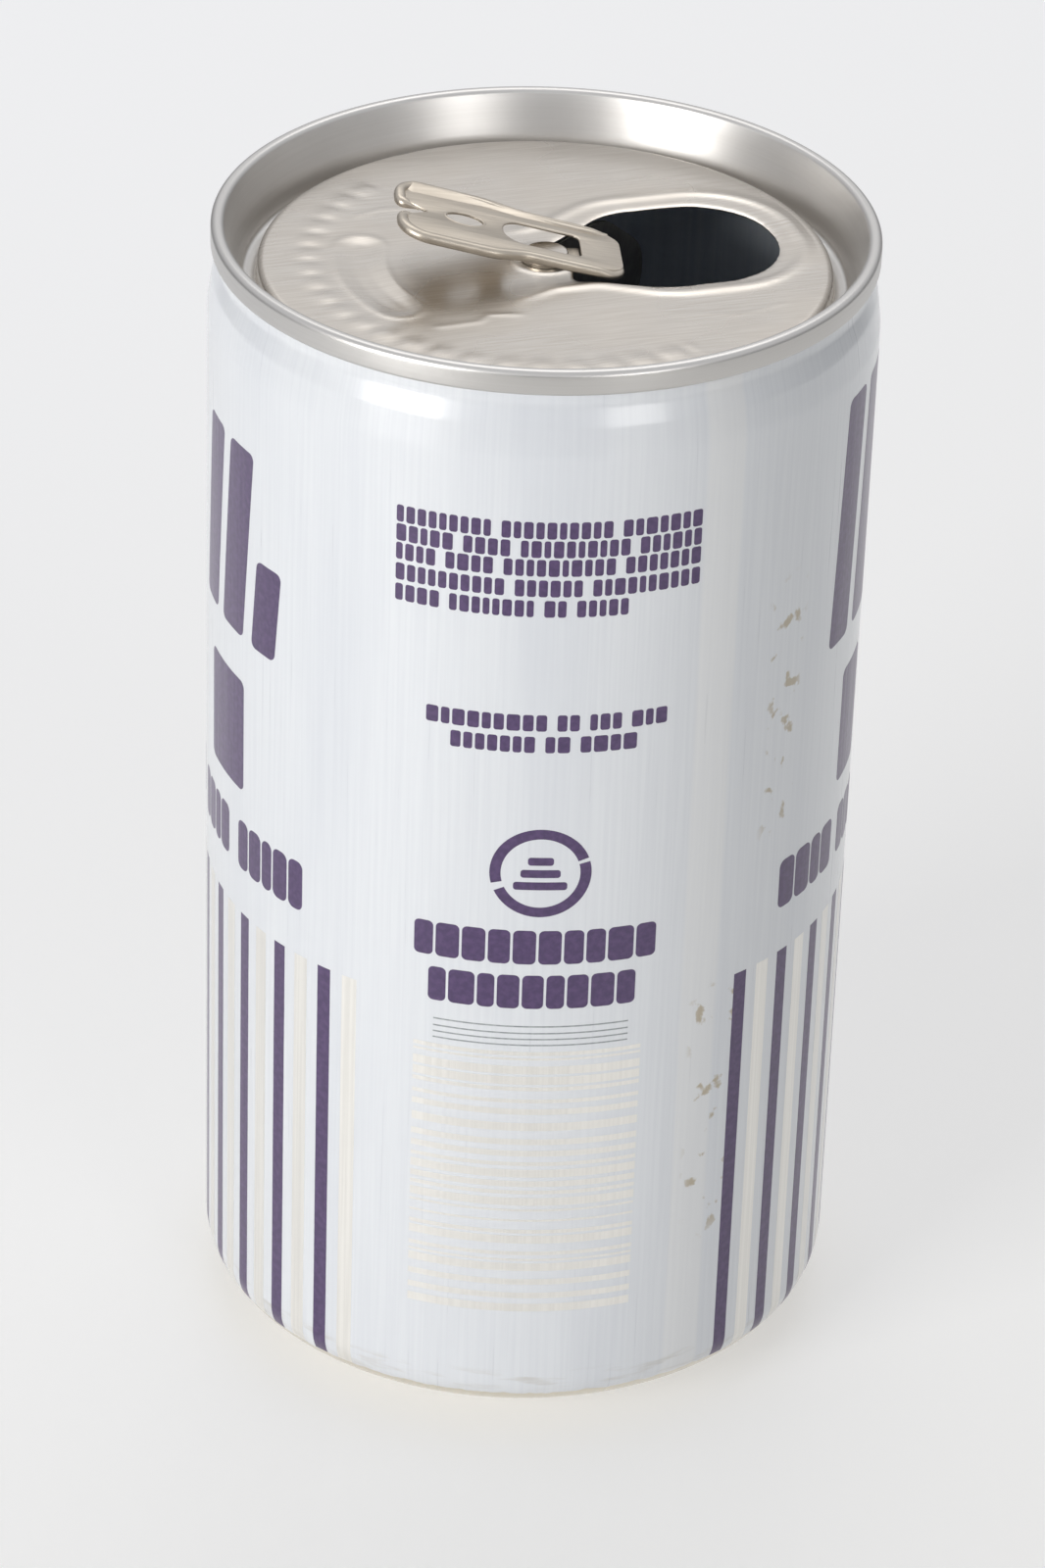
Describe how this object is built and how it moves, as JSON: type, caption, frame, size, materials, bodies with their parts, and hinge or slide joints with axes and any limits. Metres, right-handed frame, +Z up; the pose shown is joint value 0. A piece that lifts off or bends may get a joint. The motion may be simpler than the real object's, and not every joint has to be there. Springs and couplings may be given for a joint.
{
  "type": "drinks can",
  "caption": "Opened drinks can: straight cylindrical body with a domed base and a stepped neck, seamed lid, raised stay-on tab and a torn pouring mouth with its panel bent inside.",
  "frame": {"origin": "middle of the standing ring, on the surface that the can stands on", "axes": "+Z up along the can's axis, +X from the rivet towards the pouring mouth, +Y completes a right-handed frame"},
  "size_m": [0.0662, 0.0662, 0.1244],
  "materials": {
    "printed_aluminium": "white base coat with purple print under clear varnish",
    "lid_aluminium": "satin rolled sheet",
    "tab_aluminium": "satin rolled sheet with bright folded edges",
    "sealing_compound": "matt"
  },
  "bodies": {
    "can": {"can_body": "printed_aluminium", "end_shell": "lid_aluminium", "sealing_compound": "sealing_compound", "rivet": "lid_aluminium"},
    "tab_tongue": {"tab_island": "tab_aluminium"},
    "tab": {"pull_tab": "tab_aluminium"},
    "flap": {"pour_panel": "lid_aluminium"}
  },
  "joints": [
    {"name": "tab_swivel", "type": "hinge", "parent": "can", "child": "tab_tongue", "pos_m": [0, 0, 0.1184], "axis": [0, 0, 1], "range_deg": [-2, 5]},
    {"name": "tab_lift", "type": "hinge", "parent": "tab_tongue", "child": "tab", "pos_m": [0.00322, -0.00074, 0.11843], "axis": [0.225, 0.9744, 0], "range_deg": [-13, 75.5]},
    {"name": "pour_panel_bend", "type": "hinge", "parent": "can", "child": "flap", "pos_m": [0.0013, 0.0032, 0.11806], "axis": [0.8038, 0.5948, 0], "range_deg": [-3, 25]}
  ]
}
